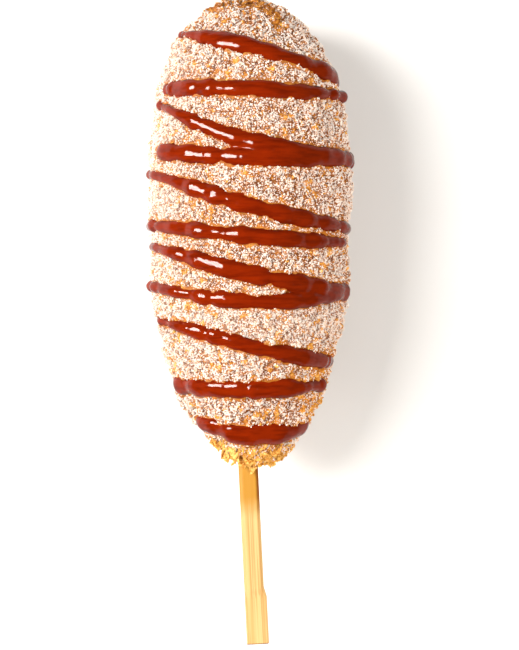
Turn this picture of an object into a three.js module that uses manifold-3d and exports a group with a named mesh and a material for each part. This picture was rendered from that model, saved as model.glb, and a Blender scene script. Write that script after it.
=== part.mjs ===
// A sugar-dusted, crumb-coated corn dog with a ketchup drizzle, on a flat bamboo stick.
// It lies on its side. Millimetres, +Z up. +Y runs along the dog, from the stick to the rounded tip.
// The origin is on the small flat that it rests on, under the widest section of the coating.

import * as THREE from "three";
import { ImprovedNoise } from "three/addons/math/ImprovedNoise.js";
import { mergeVertices } from "three/addons/utils/BufferGeometryUtils.js";
import Module from "manifold-3d";

const wasm = await Module();
wasm.setup();
const noise = new ImprovedNoise();
const degrees = THREE.MathUtils.degToRad;

// ---- Driving dimensions, in mm and degrees ----

// The coated body is round, and each half's outline is a superellipse with a power of its own along the
// axis, which keeps the side straight for longer, and one across it, which makes the end blunter. Both ends
// lean a little off the straight axis, sideways.
const BODY_RADIUS = 27.5;
const TIP = { length: 58.6, powerAlong: 3, powerAcross: 2, leanFrom: 20, lean: -2 };
const STICK_END = { length: 70, powerAlong: 2.35, powerAcross: 1.9, leanFrom: 48, lean: 2.6 };
const REST_FLAT_DEPTH = 1;
const AXIS_HEIGHT = BODY_RADIUS - REST_FLAT_DEPTH;

// The crust's relief: broad lumps of dough under crags of crumb. Each start picks its own stretch of noise.
const LUMP = { size: 15, height: 1.1, start: 0 };
const CRAG = { size: 4.6, height: 0.85, start: 40 };
const CELLS_AROUND = 56;
const CELLS_ALONG = 38;

// Loose flakes of crumb stand out of both ends of the crust, in a ring round each pole.
const STICK_END_CRUMBS = { count: 26, pole: 0, nearest: 3.8, farthest: 15, length: 3.4 };
const TIP_CRUMBS = { count: 12, pole: 1, nearest: 1, farthest: 14, length: 2.2 };
const CRUMB_WIDTH = 2.6;
const CRUMB_THICKNESS = 1.1;
const CRUMB_LIFT = 0.2;
const CRUMB_UNEVENNESS = 0.5;
const CRUMB_TILT = degrees(50);
const GOLDEN_ANGLE = degrees(137.508);

// Ketchup passes, from the tip to the stick: the station where each crosses the left side, the top and the
// right side, the angles from the top at which it starts and ends, and its width at the same three places.
const KETCHUP_PASSES = [
  { left: 48.2, top: 42.4, right: 36, from: -78, to: 90, widths: [2.4, 4.7, 4] },
  { left: 32.4, top: 30.2, right: 30.5, from: -70, to: 86, widths: [4, 4.3, 2.6] },
  { left: 28.8, top: 16.2, right: 14.7, from: -76, to: 93, widths: [2.4, 4.7, 4.4] },
  { left: 15.5, top: 12.1, right: 13.9, from: -66, to: 93, widths: [4.4, 4.4, 3.6] },
  { left: 9.5, top: -0.6, right: -4.7, from: -88, to: 88, widths: [2.6, 4.4, 3.4] },
  { left: -4.6, top: -8.6, right: -8.9, from: -88, to: 74, widths: [3.4, 4.4, 3] },
  { left: -10.3, top: -18.5, right: -22.4, from: -91, to: 92, widths: [2.6, 4.8, 4] },
  { left: -21.1, top: -25.8, right: -23.3, from: -90, to: 93, widths: [3, 4.4, 3.6] },
  { left: -30.2, top: -37.4, right: -41, from: -82, to: 88, widths: [2.3, 4.1, 3.6] },
  { left: -47.9, top: -49.1, right: -47.9, from: -84, to: 84, widths: [4, 4.8, 3] },
  { left: -58.3, top: -61, right: -59, from: -78, to: 90, widths: [4, 5.4, 4] },
];
// How far out on the side the width leaves its value on top and reaches its value at the end.
const KETCHUP_TAPER = { from: 0.45, to: 0.9 };
const KETCHUP_HEIGHT = 1.3;
const KETCHUP_SINK = 0.8;
const KETCHUP_SWELL = { size: 7, share: 0.22, start: 20 };
const KETCHUP_SIDES = 8;
const KETCHUP_STEP = 4.8;
// A bead's first stations: the share of a step that each lies from the end, and how full the bead is there.
const BEAD_ENDS = [
  { from: 0, fullness: 0.45 },
  { from: 0.35, fullness: 0.9 },
];

// The stick: a shaft with softened corners that steps out to a square-cut paddle.
const STICK_LEAN = degrees(2.8);
const STICK_START = new THREE.Vector3(-0.5, -71.2, AXIS_HEIGHT);
const STICK_VISIBLE = 48.8;
const STICK_BURIED = 32;
const PADDLE_LENGTH = 12.6;
const SHOULDER_LENGTH = 2.8;
const SHAFT = { width: 5.4, thickness: 4.3, squareness: 3.4 };
const PADDLE = { width: 6.1, thickness: 4.7, squareness: 9 };
const STICK_SIDES = 24;
const SOCKET_GAP = 0.3;
const SOCKET_MOUTH = 8;

// ---- Solids from three.js geometry ----

// A closed geometry as a manifold-3d solid, its shared vertices merged and collapsed triangles dropped.
function solidFrom(geometry) {
  const bare = geometry.clone();
  bare.deleteAttribute("normal");
  bare.deleteAttribute("uv");
  const merged = mergeVertices(bare, 1e-3);
  const corners = merged.index.array;
  const kept = [];
  for (let i = 0; i < corners.length; i += 3) {
    const [a, b, c] = corners.slice(i, i + 3);
    if (a !== b && b !== c && c !== a) kept.push(a, b, c);
  }
  return new wasm.Manifold(
    new wasm.Mesh({
      numProp: 3,
      vertProperties: merged.attributes.position.array,
      triVerts: new Uint32Array(kept),
    }),
  );
}

function geometryFrom(solid) {
  const { vertProperties, triVerts } = solid.getMesh();
  return new THREE.BufferGeometry()
    .setAttribute("position", new THREE.BufferAttribute(new Float32Array(vertProperties), 3))
    .setIndex(new THREE.BufferAttribute(new Uint32Array(triVerts), 1));
}

function meshFrom(name, solid, color, roughness) {
  const geometry = geometryFrom(solid);
  geometry.computeVertexNormals();
  const mesh = new THREE.Mesh(geometry, new THREE.MeshStandardMaterial({ color, roughness }));
  mesh.name = name;
  return mesh;
}

// A whole number always gives the same draw, from 0 to 1.
function draw(number) {
  const wave = Math.sin(number * 12.9898) * 43758.5453;
  return wave - Math.floor(wave);
}

// ---- The crust's form ----

function superellipsePoint(turn) {
  const { length, powerAlong, powerAcross } = turn > 0 ? TIP : STICK_END;
  const along = Math.sign(turn) * length * Math.abs(Math.sin(turn)) ** (2 / powerAlong);
  const radius = BODY_RADIUS * Math.abs(Math.cos(turn)) ** (2 / powerAcross);
  return new THREE.Vector2(radius, along);
}

// The outline from the stick end's pole to the tip's pole, as (radius, station along the axis).
const OUTLINE_POINTS = 80;
const outline = new THREE.SplineCurve(
  Array.from({ length: OUTLINE_POINTS + 1 }, (_, i) =>
    superellipsePoint(degrees(-90 + (180 * i) / OUTLINE_POINTS)),
  ),
);

function bodyRadius(along) {
  const { length, powerAlong, powerAcross } = along > 0 ? TIP : STICK_END;
  const share = Math.min(1, Math.abs(along) / length);
  return BODY_RADIUS * (1 - share ** powerAlong) ** (1 / powerAcross);
}

function axisShift(along) {
  const { length, leanFrom, lean } = along > 0 ? TIP : STICK_END;
  const share = Math.max(0, Math.abs(along) - leanFrom) / (length - leanFrom);
  return lean * share ** 2;
}

// The angle round the body is 0 on top and grows towards +X.
function onBody(radius, along, angle) {
  return new THREE.Vector3(
    axisShift(along) + radius * Math.sin(angle),
    along,
    AXIS_HEIGHT + radius * Math.cos(angle),
  );
}

function outwards(slope, angle) {
  return new THREE.Vector3(
    slope.y * Math.sin(angle),
    -slope.x,
    slope.y * Math.cos(angle),
  ).normalize();
}

// Noise from -1 to 1 that changes over the given size.
function unevenness(point, { size, start }) {
  const { x, y, z } = point.clone().divideScalar(size).addScalar(start);
  return noise.noise(x, y, z);
}

function lumps(point) {
  return LUMP.height * unevenness(point, LUMP);
}

function crags(point) {
  return CRAG.height * unevenness(point, CRAG);
}

// The angle round the body of a point on the square that a box's sides make round its long axis.
function angleOnSquare(x, z) {
  const eighth = degrees(45);
  if (Math.abs(x) > Math.abs(z)) return Math.sign(x) * degrees(90) - (eighth * z) / x;
  if (z === 0) return 0;
  return (z > 0 ? 0 : degrees(180)) + (eighth * x) / z;
}

// A box's net of square cells, wrapped round the outline, so that no cells crowd at the poles.
function crust() {
  const net = new THREE.BoxGeometry(
    2, 2, 2, CELLS_AROUND / 4, CELLS_ALONG, CELLS_AROUND / 4,
  );
  const capCells = CELLS_AROUND / 8;
  const capShare = capCells / (CELLS_ALONG + 2 * capCells);
  const places = net.attributes.position;
  const at = new THREE.Vector3();
  for (let i = 0; i < places.count; i++) {
    at.fromBufferAttribute(places, i);
    const reach = Math.max(Math.abs(at.x), Math.abs(at.z));
    const fromPole = capShare * reach + (1 - 2 * capShare) * ((1 - Math.abs(at.y)) / 2);
    const share = at.y > 0 ? 1 - fromPole : fromPole;
    const angle = angleOnSquare(at.x, at.z);
    const station = outline.getPointAt(share);
    const point = onBody(station.x, station.y, angle);
    const out = outwards(outline.getTangentAt(share), angle);
    point.addScaledVector(out, lumps(point) + crags(point));
    places.setXYZ(i, point.x, point.y, point.z);
  }
  return solidFrom(net);
}

// ---- Swept pieces ----

// A closed tube through stations from one end to the other. Each is a centre, an outward direction, and
// the half width and half height of a section that is round at squareness 2 and square at a high one.
function sweep(stations, sides, squareness) {
  const tube = new THREE.CylinderGeometry(1, 1, 1, sides, stations.length - 1);
  const places = tube.attributes.position;
  const at = new THREE.Vector3();
  const nothing = 1e-9;
  const soften = (part) =>
    Math.abs(part) < nothing ? 0 : Math.sign(part) * Math.abs(part) ** (2 / squareness);
  const frames = stations.map((station, i) => {
    const before = stations[Math.max(0, i - 1)].centre;
    const after = stations[Math.min(stations.length - 1, i + 1)].centre;
    const ahead = after.clone().sub(before).normalize();
    const across = station.up.clone().cross(ahead).normalize();
    return { across, up: ahead.clone().cross(across) };
  });
  for (let i = 0; i < places.count; i++) {
    at.fromBufferAttribute(places, i);
    const index = Math.round((0.5 - at.y) * (stations.length - 1));
    const { centre, halfWidth, halfHeight } = stations[index];
    const point = centre
      .clone()
      .addScaledVector(frames[index].across, halfWidth * soften(at.x))
      .addScaledVector(frames[index].up, halfHeight * soften(at.z));
    places.setXYZ(i, point.x, point.y, point.z);
  }
  return solidFrom(tube);
}

// ---- Ketchup ----

// A pass's station at an angle round the body: a parabola through its left side, top and right side.
function passStation({ left, top, right }, angle) {
  const side = Math.sin(THREE.MathUtils.clamp(angle, degrees(-90), degrees(90)));
  return top + ((right - left) / 2) * side + ((right + left) / 2 - top) * side ** 2;
}

function passWidth({ widths: [left, top, right] }, angle) {
  const side = Math.sin(angle);
  const taper = THREE.MathUtils.smoothstep(Math.abs(side), KETCHUP_TAPER.from, KETCHUP_TAPER.to);
  return THREE.MathUtils.lerp(top, side < 0 ? left : right, taper);
}

// Where a bead's centre lies at a station and an angle, and its direction out of the crust.
function ketchupPlace([along, angle]) {
  const slope = new THREE.Vector2(bodyRadius(along + 0.5) - bodyRadius(along - 0.5), 1).normalize();
  const up = outwards(slope, angle);
  const centre = onBody(bodyRadius(along), along, angle);
  centre.addScaledVector(up, lumps(centre) - KETCHUP_SINK);
  return { centre, up };
}

// One pass of ketchup over the top, as a bead with round ends.
function bead(pass) {
  const route = (share) => {
    const angle = degrees(THREE.MathUtils.lerp(pass.from, pass.to, share));
    return [passStation(pass, angle), angle];
  };
  const line = new THREE.Curve();
  line.getPoint = (share) => ketchupPlace(route(share)).centre;
  const steps = Math.round(line.getLength() / KETCHUP_STEP);
  const start = BEAD_ENDS.map(({ from, fullness }) => ({ share: from / steps, fullness }));
  const end = start.map(({ share, fullness }) => ({ share: 1 - share, fullness })).reverse();
  const middle = Array.from({ length: steps - 1 }, (_, i) => ({ share: (i + 1) / steps, fullness: 1 }));
  const stations = [...start, ...middle, ...end].map(({ share, fullness }) => {
    const [along, angle] = route(share);
    const { centre, up } = ketchupPlace([along, angle]);
    const swell = fullness * (1 + KETCHUP_SWELL.share * unevenness(centre, KETCHUP_SWELL));
    const halfWidth = (passWidth(pass, angle) / 2) * swell;
    return { centre, up, halfWidth, halfHeight: Math.min(KETCHUP_HEIGHT + KETCHUP_SINK, halfWidth * 1.1) };
  });
  return sweep(stations, KETCHUP_SIDES, 2);
}

// ---- Crumbs ----

// Flat flakes of crumb round one pole, spread by the golden angle, one edge in the crust.
function crumbs({ count, pole, nearest, farthest, length }) {
  return Array.from({ length: count }, (_, i) => {
    const fromPole = THREE.MathUtils.lerp(nearest, farthest, (i + 0.5) / count) / outline.getLength();
    const share = Math.abs(pole - fromPole);
    const station = outline.getPointAt(share);
    const angle = GOLDEN_ANGLE * i;
    const place = onBody(station.x, station.y, angle);
    place.addScaledVector(outwards(outline.getTangentAt(share), angle), lumps(place) + crags(place));
    const [grow, turn, tiltX, tiltZ] = [0, 1, 2, 3].map((k) => draw(i + count * k) - 0.5);
    const size = 1 + CRUMB_UNEVENNESS * grow;
    const flake = new THREE.BoxGeometry(CRUMB_WIDTH * size, length * size, CRUMB_THICKNESS * size);
    flake.rotateY(2 * Math.PI * turn);
    flake.rotateX(CRUMB_TILT * tiltX);
    flake.rotateZ(CRUMB_TILT * tiltZ);
    const pastEnd = Math.sign(pole - 0.5);
    flake.translate(place.x, place.y + pastEnd * CRUMB_LIFT * length, place.z);
    return solidFrom(flake);
  });
}

// ---- The stick ----

const stickDirection = new THREE.Vector3(Math.sin(STICK_LEAN), -Math.cos(STICK_LEAN), 0);

// The stick's section at a distance from where it leaves the crust. The paddle steps out on one side only.
function stickStation(distance, gap = 0) {
  const shoulderStart = STICK_VISIBLE - PADDLE_LENGTH - SHOULDER_LENGTH;
  const step = THREE.MathUtils.clamp((distance - shoulderStart) / SHOULDER_LENGTH, 0, 1);
  const width = THREE.MathUtils.lerp(SHAFT.width, PADDLE.width, step);
  const thickness = THREE.MathUtils.lerp(SHAFT.thickness, PADDLE.thickness, step);
  const centre = STICK_START.clone().addScaledVector(stickDirection, distance);
  centre.x += (width - SHAFT.width) / 2;
  return {
    centre,
    up: new THREE.Vector3(0, 0, 1),
    halfWidth: width / 2 + gap,
    halfHeight: thickness / 2 + gap,
  };
}

// The shaft's soft section and the paddle's square one overlap over the shoulder.
function stick() {
  const shoulderEnd = STICK_VISIBLE - PADDLE_LENGTH;
  const shoulderStart = shoulderEnd - SHOULDER_LENGTH;
  const shoulderMiddle = shoulderEnd - SHOULDER_LENGTH / 2;
  const shaftStations = [-STICK_BURIED, 0, shoulderStart, shoulderEnd].map((d) => stickStation(d));
  const paddleStations = [shoulderMiddle, shoulderEnd, STICK_VISIBLE].map((d) => stickStation(d));
  const shaft = sweep(shaftStations, STICK_SIDES, SHAFT.squareness);
  return shaft.add(sweep(paddleStations, STICK_SIDES, PADDLE.squareness));
}

function socket() {
  const stations = [-STICK_BURIED - SOCKET_GAP, SOCKET_MOUTH].map((d) => stickStation(d, SOCKET_GAP));
  return sweep(stations, STICK_SIDES, SHAFT.squareness);
}

// ---- Assembly ----

// Everything above the surface that the dog lies on.
function aboveTable() {
  const reach = 4 * STICK_END.length;
  return solidFrom(new THREE.BoxGeometry(reach, reach, reach).translate(0, 0, reach / 2));
}

// The largest body of a solid, without loose scraps, its sealed hollows filled.
function wholeBody(solid) {
  return solid.decompose().reduce((largest, body) => (body.volume() > largest.volume() ? body : largest));
}

function coatedDog() {
  const toppings = [...KETCHUP_PASSES.map(bead), ...crumbs(STICK_END_CRUMBS), ...crumbs(TIP_CRUMBS)];
  const coated = crust().add(toppings.reduce((joined, piece) => joined.add(piece)));
  return wholeBody(coated.subtract(socket()).intersect(aboveTable()));
}

const cornDog = new THREE.Group();
cornDog.name = "corn_dog";
cornDog.add(meshFrom("coated_dog", coatedDog(), 0xe3bd96, 0.9));
cornDog.add(meshFrom("stick", stick(), 0xf3d491, 0.7));

export default cornDog;
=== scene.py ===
# %% [markdown]
# # A sugared corn dog with ketchup
#
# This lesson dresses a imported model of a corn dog: a thick fried coating on a flat bamboo stick, dusted
# with sugar and crossed by a zigzag of ketchup. It lies on its side. Everything is in metres, in the
# model's own frame: +Z is up, +Y runs along the dog from the stick to the rounded tip.
#
# The model comes first, as a fixed frame, because every piece made here has to sit where its solid sits.

# %% The frame
import math

import bmesh
import bpy
import numpy as np
from mathutils import Matrix, Vector, noise


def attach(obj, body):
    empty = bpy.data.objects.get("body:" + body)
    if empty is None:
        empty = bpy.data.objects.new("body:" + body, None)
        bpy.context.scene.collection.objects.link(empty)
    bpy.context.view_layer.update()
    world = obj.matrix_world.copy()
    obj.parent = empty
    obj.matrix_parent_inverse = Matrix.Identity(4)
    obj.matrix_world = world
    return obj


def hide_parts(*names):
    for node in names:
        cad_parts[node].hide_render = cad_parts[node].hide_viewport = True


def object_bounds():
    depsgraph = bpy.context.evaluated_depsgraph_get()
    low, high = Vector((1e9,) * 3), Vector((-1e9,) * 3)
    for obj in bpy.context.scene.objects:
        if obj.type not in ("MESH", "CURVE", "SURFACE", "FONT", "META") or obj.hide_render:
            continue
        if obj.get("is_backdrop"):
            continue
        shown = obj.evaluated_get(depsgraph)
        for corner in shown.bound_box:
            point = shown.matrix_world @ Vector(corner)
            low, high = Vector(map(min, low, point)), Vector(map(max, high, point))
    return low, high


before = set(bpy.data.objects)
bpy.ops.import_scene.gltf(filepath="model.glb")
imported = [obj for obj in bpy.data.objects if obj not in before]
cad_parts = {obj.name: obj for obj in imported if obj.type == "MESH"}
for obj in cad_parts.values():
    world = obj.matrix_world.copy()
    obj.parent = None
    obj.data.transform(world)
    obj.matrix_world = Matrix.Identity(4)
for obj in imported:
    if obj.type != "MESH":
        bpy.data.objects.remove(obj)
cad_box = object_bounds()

MM = 0.001
print("model box in mm:", [[round(c / MM, 1) for c in corner] for corner in cad_box])

# %% [markdown]
# ## The coating's form
#
# The coating is a body of revolution with two different ends. Each half's outline is a superellipse with a
# power of its own along the axis, which keeps the side straight for longer, and one across it, which makes
# the end blunter. Both ends lean a little to one side, as a hand-dipped dog does.

# %% Sizes of the coating
BODY_RADIUS = 27.5 * MM
# Length of each half, and the powers of its outline along and across the axis.
TIP_LENGTH, TIP_ALONG, TIP_ACROSS = 58.6 * MM, 3, 2
STICK_END_LENGTH, STICK_END_ALONG, STICK_END_ACROSS = 70 * MM, 2.35, 1.9
# How far from the middle each end starts to lean, and how far its pole moves towards +X.
TIP_LEAN_FROM, TIP_LEAN = 20 * MM, -2 * MM
STICK_END_LEAN_FROM, STICK_END_LEAN = 48 * MM, 2.6 * MM
REST_FLAT_DEPTH = 1 * MM
AXIS_HEIGHT = BODY_RADIUS - REST_FLAT_DEPTH
# Where the stick leaves the coating, and how far it turns from the axis.
STICK_START = Vector((-0.5 * MM, -71.2 * MM, AXIS_HEIGHT))
STICK_LEAN = math.radians(2.8)

print("coating's length in mm:", round((TIP_LENGTH + STICK_END_LENGTH) / MM, 1))

# %% Its radius and its lean
SLOPE_STEP = 0.5 * MM


def powers_at(along):
    power_along = np.where(along > 0, TIP_ALONG, STICK_END_ALONG)
    power_across = np.where(along > 0, TIP_ACROSS, STICK_END_ACROSS)
    return power_along, power_across


def body_radius(along):
    length = np.where(along > 0, TIP_LENGTH, STICK_END_LENGTH)
    power_along, power_across = powers_at(along)
    share = np.minimum(1, np.abs(along) / length)
    return BODY_RADIUS * (1 - share**power_along) ** (1 / power_across)


def outline_slope(along):
    """How fast the radius changes along the dog."""
    return (body_radius(along + SLOPE_STEP) - body_radius(along - SLOPE_STEP)) / (2 * SLOPE_STEP)


def axis_shift(along):
    """How far the leaning axis has moved towards +X."""
    start = np.where(along > 0, TIP_LEAN_FROM, STICK_END_LEAN_FROM)
    length = np.where(along > 0, TIP_LENGTH, STICK_END_LENGTH)
    lean = np.where(along > 0, TIP_LEAN, STICK_END_LEAN)
    return lean * (np.maximum(0, np.abs(along) - start) / (length - start)) ** 2


# %% Places and directions round it
def on_body(radius, along, angle):
    """Places round the body. The angle is 0 on top and grows towards +X."""
    x = axis_shift(along) + radius * np.sin(angle)
    z = AXIS_HEIGHT + radius * np.cos(angle)
    return np.stack([x, along + 0 * angle, z], -1)


def outwards(slope_out, slope_along, angle):
    """Directions out of the body, from how its outline runs there."""
    x = slope_along * np.sin(angle)
    z = slope_along * np.cos(angle)
    out = np.stack([x, -slope_out + 0 * angle, z], -1)
    return out / np.linalg.norm(out, axis=-1, keepdims=True)


# %% The outline by its own length
OUTLINE_POINTS = 4000
SLOPE_SHARE = 0.002


def outline_table():
    """Share of the way from the stick end's pole to the tip's, with the radius and station there."""
    turn = np.linspace(-math.pi / 2, math.pi / 2, OUTLINE_POINTS)
    length = np.where(turn > 0, TIP_LENGTH, STICK_END_LENGTH)
    power_along, power_across = powers_at(turn)
    radius = BODY_RADIUS * np.abs(np.cos(turn)) ** (2 / power_across)
    along = np.sign(turn) * length * np.abs(np.sin(turn)) ** (2 / power_along)
    way = np.concatenate([[0], np.cumsum(np.hypot(np.diff(radius), np.diff(along)))])
    return way / way[-1], radius, along, way[-1]


OUTLINE_SHARE, OUTLINE_RADIUS, OUTLINE_ALONG, OUTLINE_LENGTH = outline_table()
print("outline from pole to pole:", round(OUTLINE_LENGTH / MM, 1), "mm")


def outline_at(share):
    """Radius and station at a share of the way, and how each of them changes there."""
    radius = np.interp(share, OUTLINE_SHARE, OUTLINE_RADIUS)
    along = np.interp(share, OUTLINE_SHARE, OUTLINE_ALONG)
    ahead = np.clip(share + SLOPE_SHARE, 0, 1)
    behind = np.clip(share - SLOPE_SHARE, 0, 1)
    slope_out, slope_along = [
        np.interp(ahead, OUTLINE_SHARE, column) - np.interp(behind, OUTLINE_SHARE, column)
        for column in (OUTLINE_RADIUS, OUTLINE_ALONG)
    ]
    return radius, along, slope_out, slope_along


# %% Helpers for soft steps and noise
# How far each seed shifts the noise.
SEED_SHIFT = np.array([37.0, 59.0, 83.0])
CRACK_WIDTH = 0.5


def smooth_step(low, high, value):
    """0 on low's side, 1 on high's side and smooth between them. Low may be the greater one."""
    share = np.clip((value - low) / (high - low), 0, 1)
    return share * share * (3 - 2 * share)


def noise_at(places, size, seed=0):
    """Noise from -1 to 1 that changes over the given size."""
    shifted = places / size + SEED_SHIFT * seed
    return np.array([noise.noise(p, noise_basis="PERLIN_ORIGINAL") for p in shifted])


def crumbs_at(places, size, seed=0):
    """Rounded crumbs of the given size: 1 in a crumb's middle and 0 in the cracks between."""
    shifted = places / size + SEED_SHIFT * seed
    nearest = np.array([noise.voronoi(p)[0][:2] for p in shifted])
    return smooth_step(0, CRACK_WIDTH, nearest[:, 1] - nearest[:, 0])


# %% Helpers for meshes
def places_of(mesh):
    places = np.empty(3 * len(mesh.vertices))
    mesh.vertices.foreach_get("co", places)
    return places.reshape(-1, 3)


def mesh_from(work, name):
    mesh = bpy.data.meshes.new(name)
    work.to_mesh(mesh)
    work.free()
    return mesh


def add_piece(mesh, material, slot, *nodes, smooth=True):
    """Puts a finished mesh in the scene as a piece that stands for CAD nodes."""
    piece = bpy.data.objects.new(mesh.name, mesh)
    bpy.context.collection.objects.link(piece)
    mesh.materials.append(material)
    mesh.polygons.foreach_set("use_smooth", [smooth] * len(mesh.polygons))
    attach(piece, "root")
    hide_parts(*nodes)
    triangles = sum(len(p.vertices) - 2 for p in mesh.polygons)
    print(f"{mesh.name}: {triangles} triangles")


# %% [markdown]
# ## Where the ketchup runs
#
# The ketchup was squeezed to and fro across the lying dog, so it crosses the top in separate passes that
# end on the sides, where the stream fell past the edge. Each pass is a parabola through three stations.
# The coating needs the passes too: crumbs lie flat under them, and sugar melts away along their edges.

# %% The passes
# Station on the left side, on top and on the right side; start and end angle in degrees; width at the
# same three places; and the angles at which the bead is pinched in. Lengths are in mm.
KETCHUP_PASSES = [
    ((47.8, 42.1, 35.4), (-78, 90), (2.4, 5.0, 5.4), (-66, -58, 75)),
    ((32.4, 30.2, 30.5), (-70, 86), (4.3, 4.6, 2.8), (-62, -54, -20, 57, 67)),
    ((28.8, 16.2, 13.7), (-76, 93), (2.4, 4.7, 4.4), (-66, -30)),
    ((15.2, 12.0, 12.9), (-66, 93), (5.0, 4.6, 3.8), (-16,)),
    ((9.5, -0.6, -5.5), (-88, 88), (2.8, 4.8, 3.6), (-72, -13, 60)),
    ((-4.6, -8.6, -9.5), (-88, 74), (3.4, 4.4, 3.0), (-66, 49, 61)),
    ((-10.3, -18.5, -22.4), (-91, 92), (2.6, 4.8, 4.0), (-76, 12)),
    ((-21.1, -25.8, -23.3), (-90, 93), (3.0, 4.4, 3.6), (-76, -22)),
    ((-30.2, -37.6, -42.2), (-82, 88), (2.3, 4.2, 4.2), (-28, 66)),
    ((-48.5, -49.3, -48.2), (-84, 84), (5.2, 5.2, 3.8), (-2, 46, 62, 75)),
    ((-58.6, -61.8, -60.2), (-78, 90), (5.2, 6.3, 5.4), ()),
]
# How far out the width leaves its value on top, and where it reaches the one at the end.
TAPER_FROM, TAPER_TO = 0.45, 0.9
# How many half widths long each rounded end is.
KETCHUP_END_LENGTH = 2.2


# %% Where a pass runs and how wide it is
def pass_station(stations, angle):
    left, top, right = stations
    side = np.sin(np.clip(angle, -math.pi / 2, math.pi / 2))
    return (top + (right - left) / 2 * side + ((right + left) / 2 - top) * side**2) * MM


def pass_width(widths, angle):
    left, top, right = widths
    side = np.sin(angle)
    taper = smooth_step(TAPER_FROM, TAPER_TO, np.abs(side))
    return (top + (np.where(side < 0, left, right) - top) * taper) * MM


def rounded_end(from_end, half_width):
    """How much of its width a pass has left near its end, where it narrows like half an ellipse."""
    share = np.clip(from_end / (half_width * KETCHUP_END_LENGTH), 0, 1)
    return np.sqrt(1 - (1 - share) ** 2)


# %% Each pass as a line of even steps
RING_STEP = 0.7 * MM
FINE_STEPS = 400


def ketchup_line(ketchup_pass):
    """Centres, outward directions and angles along a pass, evenly spaced, and how far along each is."""
    stations, (start, end), *_ = ketchup_pass
    angle = np.radians(np.linspace(start, end, FINE_STEPS))
    along = pass_station(stations, angle)
    radius = body_radius(along)
    out = outwards(outline_slope(along), 1.0, angle)
    surface = on_body(radius, along, angle)
    way = np.concatenate([[0], np.cumsum(np.linalg.norm(np.diff(surface, axis=0), axis=1))])
    even = np.linspace(0, way[-1], round(way[-1] / RING_STEP))
    pick = [np.interp(even, way, column) for column in (*surface.T, *out.T, angle)]
    return np.stack(pick[:3], -1), np.stack(pick[3:6], -1), pick[6], even


# %% How full each pass is
# The stream swelled by chance, pulsed a little and was pinched in at places.
SWELL_SHARE, SWELL_SIZE = 0.3, 6 * MM
PULSE_SHARE, PULSE_LENGTH = 0.06, 6.4 * MM
PULSE_DRIFT, PULSE_DRIFT_SIZE = 1.8, 9 * MM
PINCH_SHARE, PINCH_LENGTH = 0.26, 0.9 * MM
# Even the first and last ring keep a little width.
LEAST_FROM_END = 0.02 * MM


def ketchup_swell(centres, angle, way, pinches):
    """How full the ketchup is along its way, as a share of its usual width."""
    drift = PULSE_DRIFT * noise_at(centres, PULSE_DRIFT_SIZE, seed=11)
    pulse = PULSE_SHARE * np.sin(2 * math.pi * way / PULSE_LENGTH + drift)
    swell = 1 + pulse + SWELL_SHARE * noise_at(centres, SWELL_SIZE, seed=12)
    for pinch in pinches:
        distance = (way - np.interp(math.radians(pinch), angle, way)) / PINCH_LENGTH
        swell *= 1 - PINCH_SHARE * np.exp(-(distance**2))
    return swell


def traced(ketchup_pass):
    """The line of a pass, with how full each step is, what its end leaves of it, and its half width."""
    centres, out, angle, way = ketchup_line(ketchup_pass)
    *_, widths, pinches = ketchup_pass
    swell = ketchup_swell(centres, angle, way, pinches)
    half_widths = pass_width(widths, angle) / 2 * swell
    end_width = np.where(way < way[-1] / 2, half_widths[0], half_widths[-1])
    rounded = rounded_end(np.minimum(way, way[-1] - way) + LEAST_FROM_END, end_width)
    return centres, out, angle, swell, rounded, half_widths * rounded


TRACES = [traced(ketchup_pass) for ketchup_pass in KETCHUP_PASSES]
print("steps along each pass:", [len(trace[0]) for trace in TRACES])


# %% How far the ketchup is from a place
def ketchup_gap(along, angle):
    """How far each place on the body lies from the nearest edge of ketchup: negative under it."""
    nearest = np.full(along.shape, 1.0)
    # On a steep end, the way over the surface is longer than the way along the axis.
    steepness = np.hypot(1, outline_slope(along))
    for ketchup_pass, trace in zip(KETCHUP_PASSES, TRACES):
        stations, (start, end), *_ = ketchup_pass
        _, _, traced_angle, _, _, half_widths = trace
        across = (along - pass_station(stations, angle)) * steepness
        past = np.maximum(0, np.maximum(math.radians(start) - angle, angle - math.radians(end)))
        half_width = np.interp(angle, traced_angle, half_widths)
        nearest = np.minimum(nearest, np.hypot(across, past * body_radius(along)) - half_width)
    return nearest


# %% [markdown]
# ## The crust
#
# A fried crumb crust is bumpy at three scales: broad lumps of dough, crags of stuck crumbs, and the
# crumbs themselves. A spun profile would pinch its cells at both poles, so the crust starts as a cube
# whose sides are cut into even cells and are then wrapped round the outline. Its vertices move out by
# noise of the three sizes. The tip has a dented left shoulder.

# %% An even net of cells, as a cube
CELLS_PER_SIDE = 82
LENGTHS = 3  # the net is this many times as long as it is wide


def even_net():
    net = bmesh.new()
    bmesh.ops.create_cube(net, size=2)
    long_edges = [e for e in net.edges if abs(e.verts[0].co.y - e.verts[1].co.y) > 1]
    bmesh.ops.subdivide_edges(net, edges=long_edges, cuts=LENGTHS - 1)
    bmesh.ops.subdivide_edges(net, edges=net.edges[:], cuts=CELLS_PER_SIDE - 1, use_grid_fill=True)
    return mesh_from(net, "crust")


crust_mesh = even_net()
print("cells in the net:", len(crust_mesh.polygons))


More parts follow.
